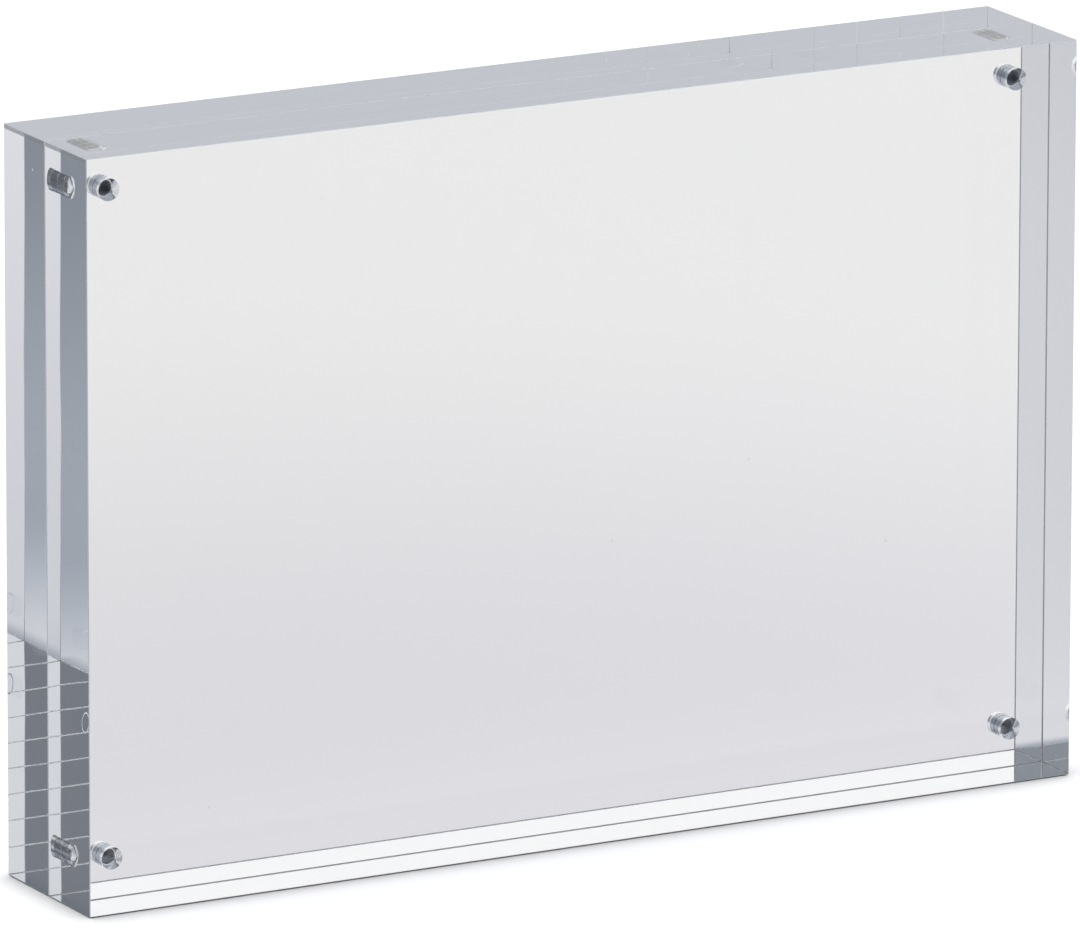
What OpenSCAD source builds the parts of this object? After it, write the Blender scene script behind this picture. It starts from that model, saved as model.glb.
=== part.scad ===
// Clear acrylic block frame: two thick blocks that four pairs of disc magnets hold face to face.
// Real size in millimetres. The origin is the middle of the footprint, on the surface it stands on.
// X runs along the long side, the front block faces -Y and Z is up.

/* [Blocks] */
// Length of both blocks, along the long side of a landscape print
block_w = 152; // [100:1:300]
// Height of both blocks, along the short side of a landscape print
block_h = 104; // [70:1:220]
// Thickness of the front block, the one that pulls off
front_t = 12; // [8:0.5:30]
// Thickness of the rear block
rear_t = 12; // [8:0.5:30]
// Slot that stays open between the blocks for a print
print_gap = 0.1; // [0.05:0.05:0.8]
// Width of the polished bevel on every edge of a block, measured along a face
bevel = 0.1; // [0.05:0.05:1.5]

/* [Magnets] */
// Diameter of a disc magnet
magnet_d = 3; // [2:0.25:8]
// Length of a disc magnet
magnet_len = 2; // [1:0.25:5]
// Rounding of a magnet's plated rims
magnet_rim = 0.15; // [0.05:0.05:0.4]
// Distance from each end of a block to the magnet axes
inset_x = 6.25; // [5.5:0.25:40]
// Distance from the top and the bottom of a block to the magnet axes
inset_z = 6; // [5.5:0.25:25]

/* [Drilled holes] */
// Space all round a magnet in its hole, for a film of glue
glue_film = 0.05; // [0.02:0.01:0.2]
// Depth left free behind a magnet, before the cone of the drill's tip
air_behind = 1; // [0:0.25:3]
// Point angle of the drill
drill_angle = 118; // [90:2:170]

/* [Hidden] */

// Overall thickness, front face to rear face
frame_t = front_t + print_gap + rear_t;
// Middle of the slot, where facing magnets meet
joint_y = -frame_t / 2 + front_t + print_gap / 2;

// Drilled hole: straight past the magnet's end, then the cone of the drill's tip
hole_r = magnet_d / 2 + glue_film;
hole_depth = magnet_len + air_behind;
tip_depth = hole_r / tan(drill_angle / 2);

// Sides and ends of a corner, as factors of half the block's size
LEFT = -1;
RIGHT = 1;
BOTTOM = -1;
TOP = 1;

// Turns that lay an upright form down into the front block and into the rear block
INTO_FRONT = [90, 0, 0];
INTO_REAR = [-90, 0, 0];

// Smooth enough for the small bores and magnets
$fn = 64;
// Step along a rounded rim
RIM_STEP = 30;

// Rectangle about the origin with its four corners bevelled
module bevelled_rectangle(w, h) {
    x = w / 2;
    y = h / 2;
    polygon([
        [bevel - x, -y], [x - bevel, -y], [x, bevel - y], [x, y - bevel],
        [x - bevel, y], [bevel - x, y], [-x, y - bevel], [-x, bevel - y]
    ]);
}

// Block of one thickness about the origin, bevelled along all twelve edges
module bevelled_block(thickness) {
    intersection() {
        translate([0, 0, -block_h / 2])
            linear_extrude(block_h)
                bevelled_rectangle(block_w, thickness);
        translate([0, thickness / 2, 0])
            rotate([90, 0, 0])
                linear_extrude(thickness)
                    bevelled_rectangle(block_w, block_h);
        translate([-block_w / 2, 0, 0])
            rotate([90, 0, 90])
                linear_extrude(block_w)
                    bevelled_rectangle(thickness, block_h);
    }
}

// Blind hole as the drill leaves it, upright, from the middle of the slot to the drill's tip
module drilled_hole() {
    rotate_extrude()
        polygon([
            [0, 0], [hole_r, 0], [hole_r, hole_depth], [0, hole_depth + tip_depth]
        ]);
}

// Points of a quarter round about a centre in the profile plane, from a start angle
function rim_arc(x, z, start) = [
    for (a = [start:RIM_STEP:start + 90])
        [x + magnet_rim * cos(a), z + magnet_rim * sin(a)]
];

// Plated disc magnet, upright on the middle of the slot, with rounded rims
module disc_magnet() {
    x = magnet_d / 2 - magnet_rim;
    rotate_extrude()
        polygon(concat(
            [[0, 0]],
            rim_arc(x, magnet_rim, -90),
            rim_arc(x, magnet_len - magnet_rim, 0),
            [[0, magnet_len]]
        ));
}

// Moves a form from the origin to one of the four magnet axes, on the middle of the slot
module at_corner(side, end) {
    translate([
        side * (block_w / 2 - inset_x),
        joint_y,
        block_h / 2 + end * (block_h / 2 - inset_z)
    ])
        children();
}

// One block with its four blind holes, drilled from the inner face
module drilled_block(thickness, centre_y, turn) {
    difference() {
        translate([0, centre_y, block_h / 2])
            bevelled_block(thickness);
        for (side = [LEFT, RIGHT], end = [BOTTOM, TOP])
            at_corner(side, end)
                rotate(turn)
                    drilled_hole();
    }
}

module front_block() {
    color([0.86, 0.9, 0.93, 0.4])
        drilled_block(front_t, (front_t - frame_t) / 2, INTO_FRONT);
}

module rear_block() {
    color([0.86, 0.9, 0.93, 0.4])
        drilled_block(rear_t, (frame_t - rear_t) / 2, INTO_REAR);
}

module magnet_at(side, end, turn) {
    color("silver")
        at_corner(side, end)
            rotate(turn)
                disc_magnet();
}

module front_magnet_top_left() {
    magnet_at(LEFT, TOP, INTO_FRONT);
}

module front_magnet_top_right() {
    magnet_at(RIGHT, TOP, INTO_FRONT);
}

module front_magnet_bottom_left() {
    magnet_at(LEFT, BOTTOM, INTO_FRONT);
}

module front_magnet_bottom_right() {
    magnet_at(RIGHT, BOTTOM, INTO_FRONT);
}

module rear_magnet_top_left() {
    magnet_at(LEFT, TOP, INTO_REAR);
}

module rear_magnet_top_right() {
    magnet_at(RIGHT, TOP, INTO_REAR);
}

module rear_magnet_bottom_left() {
    magnet_at(LEFT, BOTTOM, INTO_REAR);
}

module rear_magnet_bottom_right() {
    magnet_at(RIGHT, BOTTOM, INTO_REAR);
}

front_block();
rear_block();
front_magnet_top_left();
front_magnet_top_right();
front_magnet_bottom_left();
front_magnet_bottom_right();
rear_magnet_top_left();
rear_magnet_top_right();
rear_magnet_bottom_left();
rear_magnet_bottom_right();
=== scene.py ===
"""Acrylic block frame: the finishes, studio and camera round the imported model.

Two polished clear blocks stand face to face on a white sweep. Four pairs of plated disc magnets, glued into
blind holes near the corners, hold them together.
"""
import logging
import math
from dataclasses import dataclass, field
from enum import Enum
from typing import Any, Mapping, Sequence, Union

import bpy
from mathutils import Matrix, Vector


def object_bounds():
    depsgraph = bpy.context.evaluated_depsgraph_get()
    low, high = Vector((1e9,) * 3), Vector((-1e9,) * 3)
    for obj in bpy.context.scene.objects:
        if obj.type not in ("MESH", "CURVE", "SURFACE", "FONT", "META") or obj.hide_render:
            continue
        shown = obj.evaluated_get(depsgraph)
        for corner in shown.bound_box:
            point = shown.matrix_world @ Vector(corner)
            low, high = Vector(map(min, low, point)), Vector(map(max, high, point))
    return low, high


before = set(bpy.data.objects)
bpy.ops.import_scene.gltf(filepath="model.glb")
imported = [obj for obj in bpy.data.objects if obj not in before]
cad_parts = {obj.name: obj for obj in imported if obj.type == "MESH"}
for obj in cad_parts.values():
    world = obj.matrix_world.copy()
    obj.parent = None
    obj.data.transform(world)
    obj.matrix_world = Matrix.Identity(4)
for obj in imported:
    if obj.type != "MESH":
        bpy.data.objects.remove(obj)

log = logging.getLogger("acrylic_block_frame")

MM = 0.001
CAD_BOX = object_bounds()
# The origin is the middle of the footprint, so the box's upper corner holds these three
HALF_LENGTH, HALF_DEPTH, HEIGHT = CAD_BOX[1]
# Mirror bounces after which a sight line shows the clear acrylic alone, without its magnets and holes
FAR_MIRRORED = 3.5
# Share of a normal along one axis, above which a face counts as square to that axis
SQUARE = 0.9

Colour = tuple[float, float, float]
Span = tuple[float, float]
Value = Union["Socket", float, Sequence[float]]

WHITE: Colour = (1.0, 1.0, 1.0)


class Half(Enum):
    """The frame's two halves. The value starts the names of a half's pieces."""

    FRONT = "front"
    REAR = "rear"

    @property
    def ior(self) -> float:
        """Returns the refractive index of the sheet that this half's block was cut from."""
        return 1.475 if self is Half.FRONT else 1.465


class Level(Enum):
    """The height of a magnet in its block, as in the magnets' names."""

    TOP = "top"
    BOTTOM = "bottom"


class Side(Enum):
    """The end of the block that a magnet is near, as in the magnets' names."""

    LEFT = "left"
    RIGHT = "right"


class Ray(Enum):
    """What the Light Path node tells about a sight line. The value is the output's name."""

    CAMERA = "Is Camera Ray"
    SHADOW = "Is Shadow Ray"
    DIFFUSE = "Is Diffuse Ray"
    THROUGH = "Is Transmission Ray"
    MIRRORED = "Glossy Depth"
    LENGTH = "Ray Length"


class Socket:
    """An output socket of a shader node whose arithmetic adds Math nodes."""

    def __init__(self, graph: "Graph", link: bpy.types.NodeSocket) -> None:
        """Wraps one output socket of a node in the graph."""
        self.graph = graph
        self.link = link

    def __add__(self, other: Value) -> "Socket":
        """Returns this value plus another."""
        return self.graph.math("ADD", self, other)

    __radd__ = __add__

    def __sub__(self, other: Value) -> "Socket":
        """Returns this value less another."""
        return self.graph.math("SUBTRACT", self, other)

    def __rsub__(self, other: Value) -> "Socket":
        """Returns another value less this one."""
        return self.graph.math("SUBTRACT", other, self)

    def __mul__(self, other: Value) -> "Socket":
        """Returns this value times another."""
        return self.graph.math("MULTIPLY", self, other)

    __rmul__ = __mul__

    def __truediv__(self, other: Value) -> "Socket":
        """Returns this value over another."""
        return self.graph.math("DIVIDE", self, other)

    def __rtruediv__(self, other: Value) -> "Socket":
        """Returns another value over this one."""
        return self.graph.math("DIVIDE", other, self)

    def __abs__(self) -> "Socket":
        """Returns this value without its sign."""
        return self.graph.math("ABSOLUTE", self)

    def over(self, limit: Value) -> "Socket":
        """Returns 1 where this value is over a limit, and 0 elsewhere."""
        return self.graph.math("GREATER_THAN", self, limit)

    def under(self, limit: Value) -> "Socket":
        """Returns 1 where this value is under a limit, and 0 elsewhere."""
        return self.graph.math("LESS_THAN", self, limit)

    def largest(self, other: Value) -> "Socket":
        """Returns the larger of this value and another."""
        return self.graph.math("MAXIMUM", self, other)

    def smallest(self, other: Value) -> "Socket":
        """Returns the smaller of this value and another."""
        return self.graph.math("MINIMUM", self, other)

    def ramp(self, span: Span) -> "Socket":
        """Rises smoothly from 0 to 1 over a span of this value.

        Args:
            span: The values at which the rise starts and ends.

        Returns:
            The eased share, held between 0 and 1.
        """
        start, end = span
        return self.graph.node(
            "ShaderNodeMapRange",
            {"interpolation_type": "SMOOTHSTEP"},
            {"Value": self, "From Min": start, "From Max": end},
        )


class Graph:
    """A material's or world's node tree, built from one node method."""

    def __init__(self, owner: Union[bpy.types.Material, bpy.types.World]) -> None:
        """Empties the owner's node tree.

        Args:
            owner: The material or world to fill.
        """
        owner.use_nodes = True
        self.tree = owner.node_tree
        self.tree.nodes.clear()

    def node(
        self,
        kind: str,
        settings: Mapping[str, Any] | None = None,
        inputs: Mapping[Union[str, int], Value] | None = None,
        output: Union[str, int] = 0,
    ) -> Socket:
        """Adds one node and hands back one of its outputs.

        Args:
            kind: Blender's name for the node's type.
            settings: Properties to set first, such as a Math node's operation.
            inputs: Values or links by socket name or number.
            output: The output socket to hand back.

        Returns:
            The chosen output, wrapped.
        """
        return Socket(self, self._add(kind, settings, inputs).outputs[output])

    def _add(
        self,
        kind: str,
        settings: Mapping[str, Any] | None,
        inputs: Mapping[Union[str, int], Value] | None,
    ) -> bpy.types.Node:
        """Adds one node.

        Args:
            kind: Blender's name for the node's type.
            settings: Properties to set first, such as a Math node's operation.
            inputs: Values or links by socket name or number.

        Returns:
            The node itself.
        """
        made = self.tree.nodes.new(kind)
        for name, value in (settings or {}).items():
            setattr(made, name, value)
        for name, value in (inputs or {}).items():
            self._feed(made.inputs[name], value)
        return made

    def _feed(self, target: bpy.types.NodeSocket, value: Value) -> None:
        """Links or sets one input socket.

        Args:
            target: The input socket.
            value: A wrapped socket to link, or a plain value.
        """
        if isinstance(value, Socket):
            self.tree.links.new(value.link, target)
        elif isinstance(value, tuple) and target.type == "RGBA":
            target.default_value = (*value, 1.0)
        else:
            target.default_value = value

    def math(self, operation: str, *values: Value) -> Socket:
        """Returns the result of a Math node with these operands."""
        return self.node("ShaderNodeMath", {"operation": operation}, dict(enumerate(values)))

    def vector(self, operation: str, *values: Value) -> Socket:
        """Returns the result of a Vector Math node with these operands."""
        return self.node("ShaderNodeVectorMath", {"operation": operation}, dict(enumerate(values)))

    def split(self, vector: Socket) -> tuple[Socket, Socket, Socket]:
        """Takes a vector apart.

        Args:
            vector: The vector to take apart.

        Returns:
            Its x, y and z.
        """
        x = self.node("ShaderNodeSeparateXYZ", None, {0: vector}, "X")
        parts = x.link.node.outputs
        return x, Socket(self, parts["Y"]), Socket(self, parts["Z"])

    def length(self, first: Socket, second: Socket) -> Socket:
        """Returns the length of a level vector from its two parts."""
        return self.math("SQRT", first * first + second * second)

    def blend(self, share: Value, first: Value, second: Value) -> Socket:
        """Mixes two colours.

        Args:
            share: 0 for the first colour and 1 for the second.
            first: The colour where share is 0.
            second: The colour where share is 1.

        Returns:
            The mixed colour.
        """
        # The Mix node has a pair of inputs for each type of value, and 6, 7 and output 2 are the colours
        return self.node(
            "ShaderNodeMix",
            {"data_type": "RGBA"},
            {"Factor": share, 6: first, 7: second},
            2,
        )

    def either(self, share: Value, first: Socket, second: Socket) -> Socket:
        """Returns the first shader where share is 0 and the second where it is 1."""
        return self.node("ShaderNodeMixShader", None, {0: share, 1: first, 2: second})

    def clear(self, tint: Colour) -> Socket:
        """Returns a shader that lets light through unbent, with a tint."""
        return self.node("ShaderNodeBsdfTransparent", None, {"Color": tint})

    def noise(self, place: Value, scale: float, detail: float = 2.0, roughness: float = 0.5) -> Socket:
        """Adds a soft noise.

        Args:
            place: The position that the noise is read at.
            scale: Blotches to a metre.
            detail: Octaves added to it.
            roughness: How strong the octaves are.

        Returns:
            The noise, between 0 and 1.
        """
        return self.node(
            "ShaderNodeTexNoise",
            None,
            {"Vector": place, "Scale": scale, "Detail": detail, "Roughness": roughness},
            "Fac",
        )

    def object_place(self) -> Socket:
        """Returns the position in the piece's own axes, in metres."""
        return self.node("ShaderNodeTexCoord", None, None, "Object")

    def face_normal(self) -> Socket:
        """Returns the normal of the flat face, without smoothing or bump."""
        return self.node("ShaderNodeNewGeometry", None, None, "True Normal")

    def ray(self, fact: Ray) -> Socket:
        """Returns what the Light Path node tells about the sight line."""
        return self.node("ShaderNodeLightPath", None, None, fact.value)

    def mirrored(self) -> Socket:
        """Returns 1 on sight lines that some surface has mirrored, and 0 on straight ones."""
        return self.ray(Ray.MIRRORED).over(0.0)

    def far_mirrored(self) -> Socket:
        """Returns 1 on sight lines that have been mirrored too often to show the magnets."""
        return self.ray(Ray.MIRRORED).over(FAR_MIRRORED)

    def bump(self, height: Socket, distance: float) -> Socket:
        """Bumps the normal.

        Args:
            height: The height, between 0 and 1.
            distance: The depth in metres that a height of 1 stands for.

        Returns:
            The bumped normal.
        """
        return self.node("ShaderNodeBump", None, {"Height": height, "Distance": distance, "Strength": 1.0})

    def finish(self, surface: Socket, output: str = "ShaderNodeOutputMaterial") -> None:
        """Shows a shader as the tree's surface, through an output node of the given type."""
        self._add(output, None, {"Surface": surface})


@dataclass(frozen=True)
class DrillPattern:
    """Where the magnets' blind holes lie in a block, in metres, with a hair to spare at each limit."""

    inset_x: float = 6.25 * MM
    inset_z: float = 6.0 * MM
    radius: float = 1.6 * MM
    mouth: float = 0.06 * MM
    magnet_end: float = 1.99 * MM
    tip: float = 4.1 * MM

    def off_axis(self, graph: Graph, x: Socket, z: Socket) -> Socket:
        """Measures how far a place is from the magnets' axes.

        Args:
            graph: The material's graph.
            x: The place along the block's length.
            z: The height above its base.

        Returns:
            The distance from the nearest axis.
        """
        half_height = HEIGHT / 2
        across = abs(x) - (HALF_LENGTH - self.inset_x)
        along = abs(z - half_height) - (half_height - self.inset_z)
        return graph.length(across, along)


@dataclass(frozen=True)
class ClearAcrylic:
    """Cast acrylic: clear and polished, glued to the magnets' sides and left as drilled beyond their ends."""

    half: Half
    tint: Colour = (0.994, 0.997, 1.0)
    ripple: float = 0.012 * MM
    ripple_scale: float = 38.0
    speck_tint: Colour = (0.8, 0.8, 0.82)
    speck_roughness: float = 0.25
    speck_scale: float = 90.0
    speck_radius: float = 0.02
    speck_patch_scale: float = 160.0
    speck_patch: float = 0.54
    # Painted shade and light on the bevels: dark where seen through, pale where mirrored, mid-grey from
    # outside
    arris_through: Colour = (0.26, 0.26, 0.28)
    arris_mirrored: Colour = (0.62, 0.63, 0.67)
    arris_outside: Colour = (0.5, 0.52, 0.56)
    arris_share: float = 0.85
    arris_roughness: float = 0.25
    # A painted dark band along the ends' top edge that stands for a reflection, seen only from outside: its
    # colour, where it starts and ends below the top, and its share
    painted_dark_band: Colour = (0.25, 0.265, 0.285)
    painted_band_start: float = 0.75 * MM
    painted_band_end: float = 0.55 * MM
    painted_band_share: float = 0.75
    scraped_roughness: float = 0.5
    drilled_roughness: float = 0.2
    ring_depth: float = 0.001 * MM
    ring_scale: float = 1100.0
    ring_waver: float = 1.5
    glue: Colour = (0.97, 0.975, 0.98)
    shadow_tint: Colour = (0.95, 0.955, 0.965)
    foot_tint: Colour = (0.02, 0.02, 0.03)
    foot_height: float = 4.0 * MM
    drill: DrillPattern = field(default_factory=DrillPattern)

    def build(self) -> bpy.types.Material:
        """Makes the material.

        Returns:
            The finished material.
        """
        material = bpy.data.materials.new(f"{self.half.value}_clear_acrylic")
        graph = Graph(material)
        place = graph.object_place()
        x, y, z = graph.split(place)
        depth = abs(y)
        bored = self.drill.off_axis(graph, x, z).under(self.drill.radius)
        wall = bored * depth.over(self.drill.mouth) * depth.under(self.drill.tip)
        glued = wall * depth.under(self.drill.magnet_end)
        far = wall * graph.far_mirrored()
        tip = bored * depth.over(self.drill.magnet_end) * depth.under(self.drill.tip)
        arris = self._arris(graph) * (1 - bored)
        painted_dark_band = self._painted_edge_band(graph, z)
        matt = (arris * self.arris_share).largest(painted_dark_band)
        solid = graph.either(matt, self._polished(graph, place, arris, tip), self._scraped(graph, painted_dark_band))
        wetted = graph.either(glued.largest(far), solid, graph.clear(self.glue))
        unbent = graph.ray(Ray.SHADOW).largest(graph.ray(Ray.DIFFUSE))
        graph.finish(graph.either(unbent, wetted, self._lamplight(graph, z)))
        return material

    def _polished(self, graph: Graph, place: Socket, arris: Socket, tip: Socket) -> Socket:
        """Makes the clear solid.

        Args:
            graph: The material's graph.
            place: The position in the block's axes.
            arris: The mask of the scraped arrises.
            tip: The mask of the drilled tips.

        Returns:
            The refracting shader.
        """
        specks = self._specks(graph, place)
        roughness = (
            arris * self.arris_roughness
            + tip * self.drilled_roughness
            + specks * self.speck_roughness
        )
        return graph.node(
            "ShaderNodeBsdfPrincipled",
            None,
            {
                "Base Color": graph.blend(specks, self.tint, self.speck_tint),
                "Roughness": roughness,
                "IOR": self.half.ior,
                "Transmission Weight": 1.0,
                "Normal": self._normal(graph, place, tip),
            },
        )

    def _scraped(self, graph: Graph, painted_dark_band: Socket) -> Socket:
        """Makes the matt places, whose colour is painted shade and light: dark on straight sight lines, pale
        on mirrored ones and mid-grey from outside.

        Args:
            graph: The material's graph.
            painted_dark_band: The share of the painted dark band on the ends' top edge, a painted reflection
                darker than the arrises.

        Returns:
            The matt shader.
        """
        within = graph.blend(graph.mirrored(), self.arris_through, self.arris_mirrored)
        # From outside, the painted dark band or the bevel's mid-grey
        outside = graph.blend(painted_dark_band.over(0.0), self.arris_outside, self.painted_dark_band)
        # Painted light and shade, picked by the kind of sight line
        painted_arris_light_and_shade = graph.blend(graph.ray(Ray.CAMERA), within, outside)
        return graph.node(
            "ShaderNodeBsdfPrincipled",
            None,
            {"Base Color": painted_arris_light_and_shade, "Roughness": self.scraped_roughness},
        )

    def _lamplight(self, graph: Graph, z: Socket) -> Socket:
        """Lets lamplight through for a clear body's pale shadow, which is dark only at its foot.

        Args:
            graph: The material's graph.
            z: The height above the floor.

        Returns:
            The shader that light meets on its way to the floor.
        """
        foot = z.under(self.foot_height)
        return graph.either(foot, graph.clear(self.shadow_tint), graph.clear(self.foot_tint))

    def _arris(self, graph: Graph) -> Socket:
        """Finds the bevels, whose normals point along no axis.

        Args:
            graph: The material's graph.

        Returns:
            1 on the bevels.
        """
        x, y, z = graph.split(graph.vector("ABSOLUTE", graph.face_normal()))
        return x.largest(y).largest(z).under(SQUARE)

    def _painted_edge_band(self, graph: Graph, z: Socket) -> Socket:
        """Paints a dark band along the ends' top edge, a painted reflection that shows only from outside.

        Args:
            graph: The material's graph.
            z: The height above the block's base.

        Returns:
            The share of the painted dark band.
        """
        x, _, _ = graph.split(graph.vector("ABSOLUTE", graph.face_normal()))
        edge = z.ramp((HEIGHT - self.painted_band_start, HEIGHT - self.painted_band_end))
        return x.over(SQUARE) * edge * graph.ray(Ray.CAMERA) * self.painted_band_share

    def _specks(self, graph: Graph, place: Socket) -> Socket:
        """Strews a few specks of dust.

        Args:
            graph: The material's graph.
            place: The position in the block's axes.

        Returns:
            1 in the specks.
        """
        cells = {"Vector": place, "Scale": self.speck_scale}
        distance = graph.node("ShaderNodeTexVoronoi", None, cells, "Distance")
        patches = graph.noise(place, self.speck_patch_scale, detail=0.0)
        return distance.under(self.speck_radius) * patches.over(self.speck_patch)

    def _normal(self, graph: Graph, place: Socket, tip: Socket) -> Socket:
        """Bumps the normal by the slight waves of cast sheet and the drill's rings.

        Args:
            graph: The material's graph.
            place: The position in the block's axes.
            tip: The mask of the drilled tips.

        Returns:
            The bumped normal.
        """
        waves = graph.noise(place, self.ripple_scale, detail=1.0)
        rings = graph.node(
            "ShaderNodeTexWave",
            {"bands_direction": "Y"},
            {"Vector": place, "Scale": self.ring_scale, "Distortion": self.ring_waver, "Detail": 1.0},
            "Fac",
        )
        height = waves * (self.ripple / MM) + rings * tip * (self.ring_depth / MM)
        return graph.bump(height, MM)


@dataclass(frozen=True)
class PlatedMagnet:
    """Nickel plating on a sintered disc, bright all round, with a painted dark reflection on the end at the
    bottom of its hole.
    """

    name: str = "nickel_plating"
    bright: Colour = (0.61, 0.635, 0.69)
    dull: Colour = (0.51, 0.53, 0.575)
    patch_scale: float = 700.0
    patch_detail: float = 3.0
    patch_contrast: float = 0.6
    patch_edge: Span = (0.45, 0.75)
    roughness: float = 0.26
    roughness_spread: float = 0.1
    pit_scale: float = 2600.0
    pit_depth: float = 0.0006 * MM
    # The inner end's painted reflection: a dark middle, a paler rim, and the lighter colour of the lower
    # magnets, which the right ones take only in part
    end_painted_dark: Colour = (0.03, 0.034, 0.042)
    end_painted_rim: Colour = (0.32, 0.325, 0.335)
    end_painted_lower: Colour = (0.25, 0.26, 0.26)
    painted_lower_right: float = 0.35
    painted_spot_edge: Span = (0.3 * MM, 1.4 * MM)
    end_roughness: float = 0.05
    end_depth: float = 1.0 * MM
    joint_depth: float = 0.01 * MM
    drill: DrillPattern = field(default_factory=DrillPattern)

    def build(self) -> bpy.types.Material:
        """Makes the material.

        Returns:
            The finished material.
        """
        material = bpy.data.materials.new(self.name)
        graph = Graph(material)
        place = graph.object_place()
        x, y, z = graph.split(place)
        depth = abs(y)
        _, facing_out, _ = graph.split(graph.face_normal())
        end = abs(facing_out).over(SQUARE) * depth.over(self.end_depth)
        noise = graph.noise(place, self.patch_scale, self.patch_detail, self.patch_contrast)
        patches = noise.ramp(self.patch_edge)
        side = graph.blend(patches, self.bright, self.dull)
        side_roughness = self.roughness + patches * self.roughness_spread
        pits = graph.noise(place, self.pit_scale, detail=1.0)
        plating = graph.node(
            "ShaderNodeBsdfPrincipled",
            None,
            {
                "Base Color": graph.blend(end, side, self._painted_end_reflection(graph, x, z)),
                "Metallic": 1.0,
                "Roughness": side_roughness * (1 - end) + end * self.end_roughness,
                "Normal": graph.bump(pits, self.pit_depth),
            },
        )
        graph.finish(graph.either(graph.far_mirrored(), plating, self._unseen(graph, depth)))
        return material

    def _painted_end_reflection(self, graph: Graph, x: Socket, z: Socket) -> Socket:
        """Paints the reflection on the inner end: dark in the middle and paler to the rim, and lighter on the
        lower magnets, most on the left.

        Args:
            graph: The material's graph.
            x: The place along the block's length.
            z: The height above its base.

        Returns:
            The end's painted colour.
        """
        rim = self.drill.off_axis(graph, x, z).ramp(self.painted_spot_edge)
        lighter = z.under(HEIGHT / 2) * x.under(0.0).largest(self.painted_lower_right)
        middle = graph.blend(lighter, self.end_painted_dark, self.end_painted_lower)
        return graph.blend(rim, middle, self.end_painted_rim)

    def _unseen(self, graph: Graph, depth: Socket) -> Socket:
        """Leaves a magnet out of a sight line, which then mirrors at the joint as beside the magnet.

        The facing ends lie in one plane, so a sight line that one end sends back meets the other at once and
        has to pass it.

        Args:
            graph: The material's graph.
            depth: The distance from the joint.

        Returns:
            The clear shader with its mirror at the joint.
        """
        joint = depth.under(self.joint_depth) * graph.ray(Ray.LENGTH).over(self.joint_depth)
        # Anisotropic is Blender's name for the type of its Glossy shader
        mirror = graph.node("ShaderNodeBsdfAnisotropic", None, {"Color": WHITE, "Roughness": 0.0})
        return graph.either(joint, graph.clear(WHITE), mirror)


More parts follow.
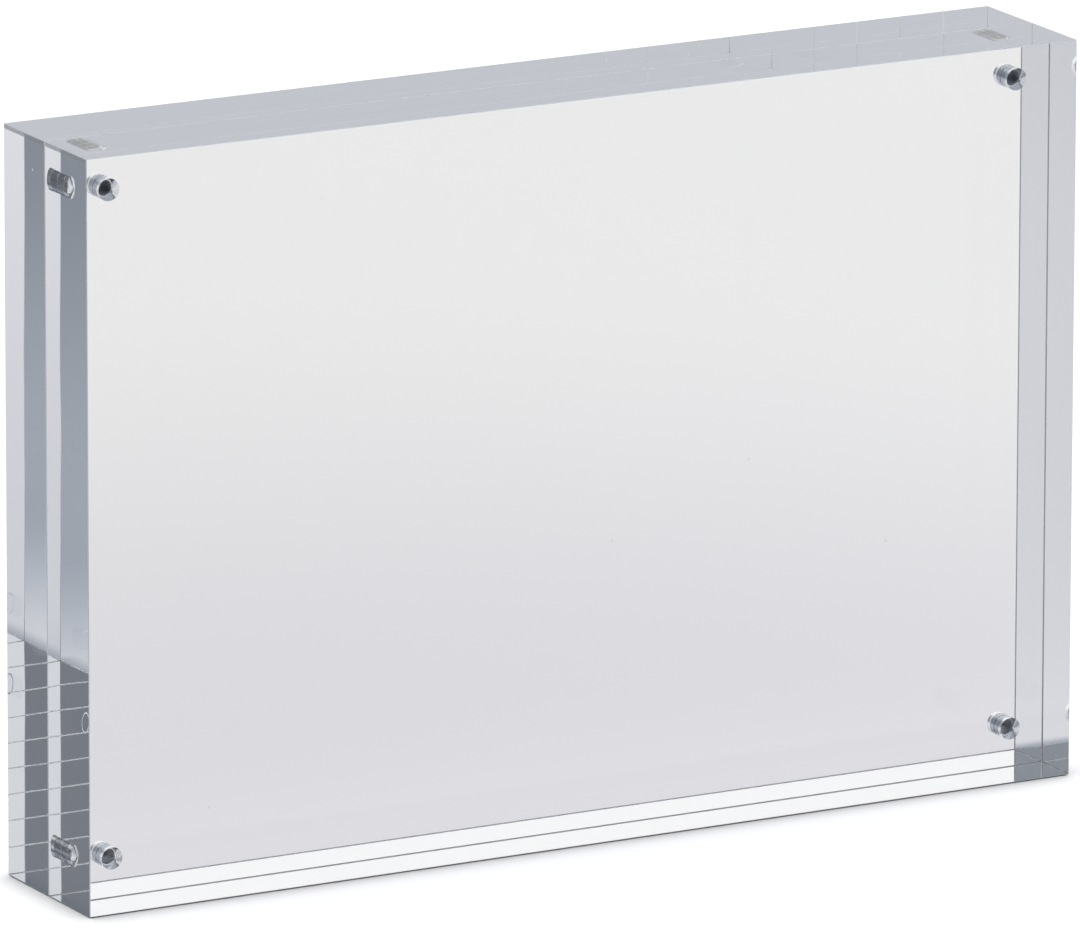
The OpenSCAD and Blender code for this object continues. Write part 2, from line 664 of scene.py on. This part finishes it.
@dataclass(frozen=True)
class Sweep:
    """What the clear blocks look out on: a white sweep behind them in a darker room.

    A sight line that goes straight through shows the white sweep. One that the inside of a block has
    mirrored shows the room, which is brightest at the sweep and darkest in front. One that has been mirrored
    along most of a block fades into the faint haze of the material. An edge is a span over which one look
    turns into the next.
    """

    facing: float = math.radians(29.0)
    least_level: float = 0.001
    white: float = 1.05
    room: Colour = (0.185, 0.2, 0.235)
    room_pale: Colour = (0.26, 0.285, 0.32)
    room_dark: Colour = (0.03, 0.035, 0.045)
    lens_black: Colour = (0.012, 0.013, 0.016)
    haze: Colour = (0.33, 0.36, 0.42)
    # How far a direction points towards the sweep, from -1 to 1
    sweep_edge: Span = (0.62, 0.86)
    pale_edge: Span = (-0.2, 0.4)
    # How far a direction points towards the lens, from -1 to 1
    dark_edge: Span = (0.3, 0.5)
    lens_edge: Span = (0.6, 0.92)
    # How steeply a direction points up, from 0 to 1
    overhead_edge: Span = (0.6, 0.95)
    dark_height: Span = (0.2572, 0.2585)
    # Mirror bounces
    haze_bounces: Span = (8.0, 14.0)
    # The floor as seen straight through, with a painted bluish shadow near the frame, and the metres from the
    # frame's middle where the shadow fades
    low_painted_shadow: Colour = (0.791, 0.78, 0.805)
    low: Colour = (0.937, 0.928, 0.92)
    low_edge: Span = (0.08, 0.33)
    # The mirrored floor, with painted light that brightens it along the frame by a slope and from front to
    # back by steps. A step is where it lies, in metres, and its gain.
    floor_dark: float = 0.05
    floor_slope: float = 0.65
    floor_limits: Span = (0.04, 0.95)
    floor_steps: tuple[tuple[Span, float], ...] = (
        ((-0.3, -0.08), 0.22),
        ((-0.07, 0.02), 0.43),
        ((0.08, 0.3), 0.09),
    )
    # The mirrored floor's tints, cool in its painted shade, and the brightness where they change
    cool: Colour = (0.86, 0.99, 1.16)
    neutral: Colour = (1.0, 0.99, 1.03)
    cool_edge: Span = (0.2, 0.85)
    # The painted shadow on the mirrored floor under the frame, and the metres beside the frame where it ends
    under: Colour = (0.32, 0.35, 0.41)
    under_edge: Span = (0.0, 4.0 * MM)

    def sky(self, graph: Graph) -> Socket:
        """Colours what mirrored and lighting rays see above the horizon.

        Args:
            graph: The world's graph.

        Returns:
            The room's colour in each direction.
        """
        x, y, z = graph.split(graph.node("ShaderNodeTexCoord", None, None, "Generated"))
        level = graph.length(x, y).largest(self.least_level)
        towards = (x * math.sin(self.facing) + y * math.cos(self.facing)) / level
        away = 0 - towards
        lit = towards.ramp(self.sweep_edge).largest(z.ramp(self.overhead_edge))
        shaded = away.ramp(self.dark_edge) * z.ramp(self.dark_height)
        wall = graph.blend(towards.ramp(self.pale_edge), self.room, self.room_pale)
        room = graph.blend(shaded, wall, self.room_dark)
        dark = graph.blend(away.ramp(self.lens_edge), room, self.lens_black)
        return self._hazed(graph, graph.blend(lit, dark, (self.white,) * 3))

    def floor_mirrored(self, graph: Graph, place: Socket) -> Socket:
        """Colours the floor as mirrored sight lines see it, with painted light and shade and a painted shadow
        under the frame.

        Args:
            graph: The floor's graph.
            place: The position on the floor, in metres.

        Returns:
            The floor's colour.
        """
        x, y, _ = graph.split(place)
        steps = sum(y.ramp(where) * gain for where, gain in self.floor_steps)
        darkest, brightest = self.floor_limits
        level = (steps + self.floor_dark + x * self.floor_slope).largest(darkest).smallest(brightest)
        tint = graph.blend(level.ramp(self.cool_edge), self.cool, self.neutral)
        lit = graph.vector("MULTIPLY", tint, level)
        # Painted shadow of the frame on the floor beneath it
        painted_shadow = 1 - self._clear_of_frame(graph, x, y).ramp(self.under_edge)
        return self._hazed(graph, graph.blend(painted_shadow, lit, self.under))

    def floor_straight(self, graph: Graph, place: Socket) -> Socket:
        """Colours the floor as seen straight through the blocks, with a painted shadow that darkens it near
        the frame.

        Args:
            graph: The floor's graph.
            place: The position on the floor, in metres.

        Returns:
            The floor's colour.
        """
        x, y, _ = graph.split(place)
        return graph.blend(graph.length(x, y).ramp(self.low_edge), self.low_painted_shadow, self.low)

    def _hazed(self, graph: Graph, colour: Socket) -> Socket:
        """Fades a colour by the haze on long mirrored sight lines.

        Args:
            graph: The graph that holds the colour.
            colour: The colour at the end of the sight line.

        Returns:
            The faded colour.
        """
        share = graph.ray(Ray.MIRRORED).ramp(self.haze_bounces)
        return graph.blend(share, colour, self.haze)

    def _clear_of_frame(self, graph: Graph, x: Socket, y: Socket) -> Socket:
        """Measures how far a place is from the frame's footprint.

        Args:
            graph: The floor's graph.
            x: The place along the frame.
            y: The place across it.

        Returns:
            The distance in metres, and 0 under the frame.
        """
        beside = (abs(x) - HALF_LENGTH).largest(0.0)
        before = (abs(y) - HALF_DEPTH).largest(0.0)
        return graph.length(beside, before)


@dataclass
class Studio:
    """The floor, world and lamp."""

    sweep: Sweep = field(default_factory=Sweep)
    floor_size: float = 8.0
    floor_drop: float = 0.15 * MM
    floor_albedo: Colour = (0.85, 0.85, 0.855)
    lamp_spread: float = math.radians(110)
    lamp_strength: float = 2.3
    lamp_lean: tuple[float, float, float] = (math.radians(12), math.radians(-8), 0.0)
    sight_bounces: int = 40
    clear_bounces: int = 16

    def build(self) -> None:
        """Makes the whole set."""
        self._floor()
        self._world()
        self._lamp()
        self._light_paths()

    def _floor(self) -> None:
        """Lays the pale floor a hair below the frame, so that its base stays a polished face."""
        half = self.floor_size / 2
        z = -self.floor_drop
        corners = [(-half, -half, z), (half, -half, z), (half, half, z), (-half, half, z)]
        mesh = bpy.data.meshes.new("floor")
        mesh.from_pydata(corners, [], [(0, 1, 2, 3)])
        mesh.materials.append(self._floor_finish())
        floor = bpy.data.objects.new("floor", mesh)
        bpy.context.scene.collection.objects.link(floor)
        log.info("floor: %g m square", self.floor_size)

    def _floor_finish(self) -> bpy.types.Material:
        """Makes the floor's material, matt to the camera, and to the blocks a glowing picture of the sweep
        with painted light and shadow.

        Returns:
            The finished material.
        """
        material = bpy.data.materials.new("floor")
        graph = Graph(material)
        place = graph.object_place()
        seen = graph.blend(
            graph.mirrored(),
            self.sweep.floor_straight(graph, place),
            self.sweep.floor_mirrored(graph, place),
        )
        # The blocks see the floor as a glow that carries its painted light and shadow
        glow = graph.node("ShaderNodeEmission", None, {"Color": seen, "Strength": 1.0})
        matt = graph.node("ShaderNodeBsdfDiffuse", None, {"Color": self.floor_albedo})
        graph.finish(graph.either(graph.ray(Ray.CAMERA), glow, matt))
        return material

    def _world(self) -> None:
        """Makes the white background and the room that the blocks mirror."""
        world = bpy.data.worlds.new("studio")
        bpy.context.scene.world = world
        graph = Graph(world)
        straight = graph.ray(Ray.THROUGH) * (1 - graph.mirrored())
        white = graph.ray(Ray.CAMERA).largest(straight)
        colour = graph.blend(white, self.sweep.sky(graph), WHITE)
        background = graph.node("ShaderNodeBackground", None, {"Color": colour, "Strength": 1.0})
        graph.finish(background, "ShaderNodeOutputWorld")
        log.info("world: %s", world.name)

    def _lamp(self) -> None:
        """Hangs one broad soft light overhead, which the blocks and magnets don't mirror."""
        data = bpy.data.lights.new("overhead", "SUN")
        data.angle = self.lamp_spread
        data.energy = self.lamp_strength
        lamp = bpy.data.objects.new("overhead", data)
        lamp.rotation_euler = self.lamp_lean
        lamp.visible_glossy = False
        lamp.visible_transmission = False
        bpy.context.scene.collection.objects.link(lamp)
        log.info("lamp: %s", lamp.name)

    def _light_paths(self) -> None:
        """Lets sight lines bounce often enough to run the length of a block."""
        cycles = bpy.context.scene.cycles
        cycles.max_bounces = self.sight_bounces
        cycles.glossy_bounces = self.sight_bounces
        cycles.transmission_bounces = self.sight_bounces
        cycles.transparent_max_bounces = self.clear_bounces


@dataclass
class PhotoCamera:
    """The long lens that the photograph was taken with, from the left and a little above."""

    eye: Vector = field(default_factory=lambda: Vector((-0.97703, -1.77298, 0.56542)))
    yaw: float = math.radians(28.835)
    pitch: float = math.radians(14.272)
    roll: float = math.radians(0.136)
    lens: float = 513.0
    sensor: float = 36.0
    reach: float = 20.0

    def build(self) -> None:
        """Makes the camera and sets it as the scene's own."""
        data = bpy.data.cameras.new("camera")
        data.lens = self.lens
        data.sensor_width = self.sensor
        data.clip_end = self.reach
        camera = bpy.data.objects.new("camera", data)
        camera.matrix_world = self._placement()
        bpy.context.scene.collection.objects.link(camera)
        bpy.context.scene.camera = camera
        log.info("camera: %g mm lens", self.lens)

    def _placement(self) -> Matrix:
        """Works out where the camera stands and how it is turned.

        Returns:
            The camera's matrix.
        """
        ahead = Vector((
            math.sin(self.yaw) * math.cos(self.pitch),
            math.cos(self.yaw) * math.cos(self.pitch),
            -math.sin(self.pitch),
        ))
        level = Vector((math.cos(self.yaw), -math.sin(self.yaw), 0))
        right = math.cos(self.roll) * level + math.sin(self.roll) * level.cross(ahead)
        axes = Matrix((right, right.cross(ahead), -ahead)).transposed()
        return Matrix.Translation(self.eye) @ axes.to_4x4()


def cover(name: str, finish: bpy.types.Material) -> None:
    """Gives one CAD piece its finish and reports it.

    Args:
        name: The piece's node.
        finish: The material that covers it.
    """
    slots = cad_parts[name].data.materials
    slots.clear()
    slots.append(finish)
    log.info("%s: %s", name, finish.name)


@dataclass
class ClearBlock:
    """One of the two thick clear blocks."""

    half: Half
    finish: bpy.types.Material

    def dress(self) -> None:
        """Gives the block its clear finish."""
        cover(f"{self.half.value}_block", self.finish)


@dataclass
class MagnetSet:
    """The four disc magnets of one block."""

    half: Half
    finish: bpy.types.Material

    def dress(self) -> None:
        """Gives each magnet its plating."""
        for level in Level:
            for side in Side:
                cover(f"{self.half.value}_magnet_{level.value}_{side.value}", self.finish)


def main() -> None:
    """Builds the camera and the set, and dresses the frame."""
    logging.basicConfig(level=logging.INFO, format="%(name)s: %(message)s")
    bpy.context.scene.view_settings.view_transform = "Standard"
    PhotoCamera().build()
    Studio().build()
    plating = PlatedMagnet().build()
    for half in Half:
        ClearBlock(half, ClearAcrylic(half).build()).dress()
        MagnetSet(half, plating).dress()


if __name__ == "__main__":
    main()
